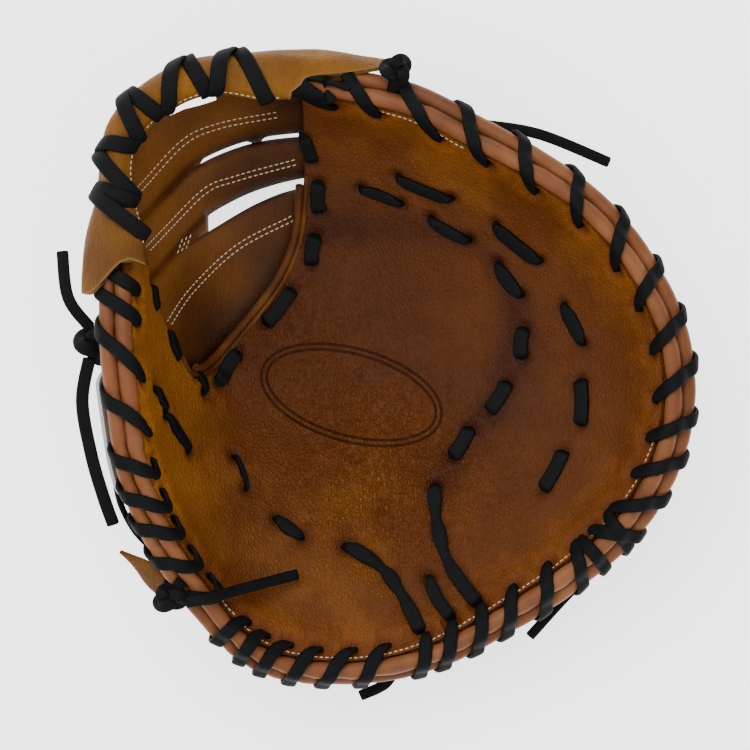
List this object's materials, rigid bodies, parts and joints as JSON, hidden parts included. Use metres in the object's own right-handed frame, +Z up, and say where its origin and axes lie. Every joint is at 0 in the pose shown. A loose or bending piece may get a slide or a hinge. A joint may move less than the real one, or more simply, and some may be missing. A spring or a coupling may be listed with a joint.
{
  "type": "first baseman mitt",
  "caption": "Leather first baseman mitt for the left hand, with a deep ball pocket, laced rolled edges and a banded web, lying palm up.",
  "frame": {"origin": "middle of the bounding box at the ground that the mitt's back lies on", "axes": "+X towards the little finger's side, +Y from the heel to the fingertips, +Z up out of the open pocket"},
  "size_m": [0.3183, 0.3291, 0.1088],
  "materials": {
    "palm_leather": "oiled tan leather, darker in the pocket",
    "web_leather": "dark tan leather",
    "roll_leather": "smooth rolled binding leather",
    "lace": "black rawhide lace"
  },
  "bodies": {
    "root": {"back_roll": "roll_leather", "back_shell": "palm_leather", "crotch_piping": "web_leather", "edge_lace_fingers": "lace", "edge_lace_heel": "lace", "edge_lace_little_finger": "lace", "edge_lace_thumb": "lace", "knot_fingers": "lace", "knot_heel": "lace", "knot_thumb": "lace", "palm_lace_crotch_1": "lace", "palm_lace_crotch_2": "lace", "palm_lace_crotch_3": "lace", "palm_lace_crotch_4": "lace", "palm_lace_crotch_5": "lace", "palm_lace_heel_curve": "lace", "palm_lace_heel_long": "lace", "palm_lace_heel_short": "lace", "palm_lace_heel_thumb": "lace", "palm_lace_ring_1": "lace", "palm_lace_ring_2": "lace", "palm_lace_ring_3": "lace", "palm_lace_ring_4": "lace", "palm_lace_ring_5": "lace", "palm_lace_ring_6": "lace", "palm_lace_ring_7": "lace", "palm_lace_ring_8": "lace", "palm_lace_ring_9": "lace", "palm_lace_thumb_1": "lace", "palm_lace_thumb_2": "lace", "palm_lace_thumb_3": "lace", "palm_lace_thumb_4": "lace", "palm_lace_tip_inner": "lace", "palm_lace_tip_outer": "lace", "palm_roll": "roll_leather", "palm_shell": "palm_leather", "tail_fingers": "lace", "tail_heel_back": "lace", "tail_heel_palm": "lace", "tail_little_finger": "lace", "tail_thumb_down": "lace", "tail_thumb_up": "lace", "web_band_1": "web_leather", "web_band_2": "web_leather", "web_band_3": "web_leather", "web_lace": "lace", "web_sleeve": "palm_leather", "wrist_strap": "web_leather"}
  },
  "joints": []
}
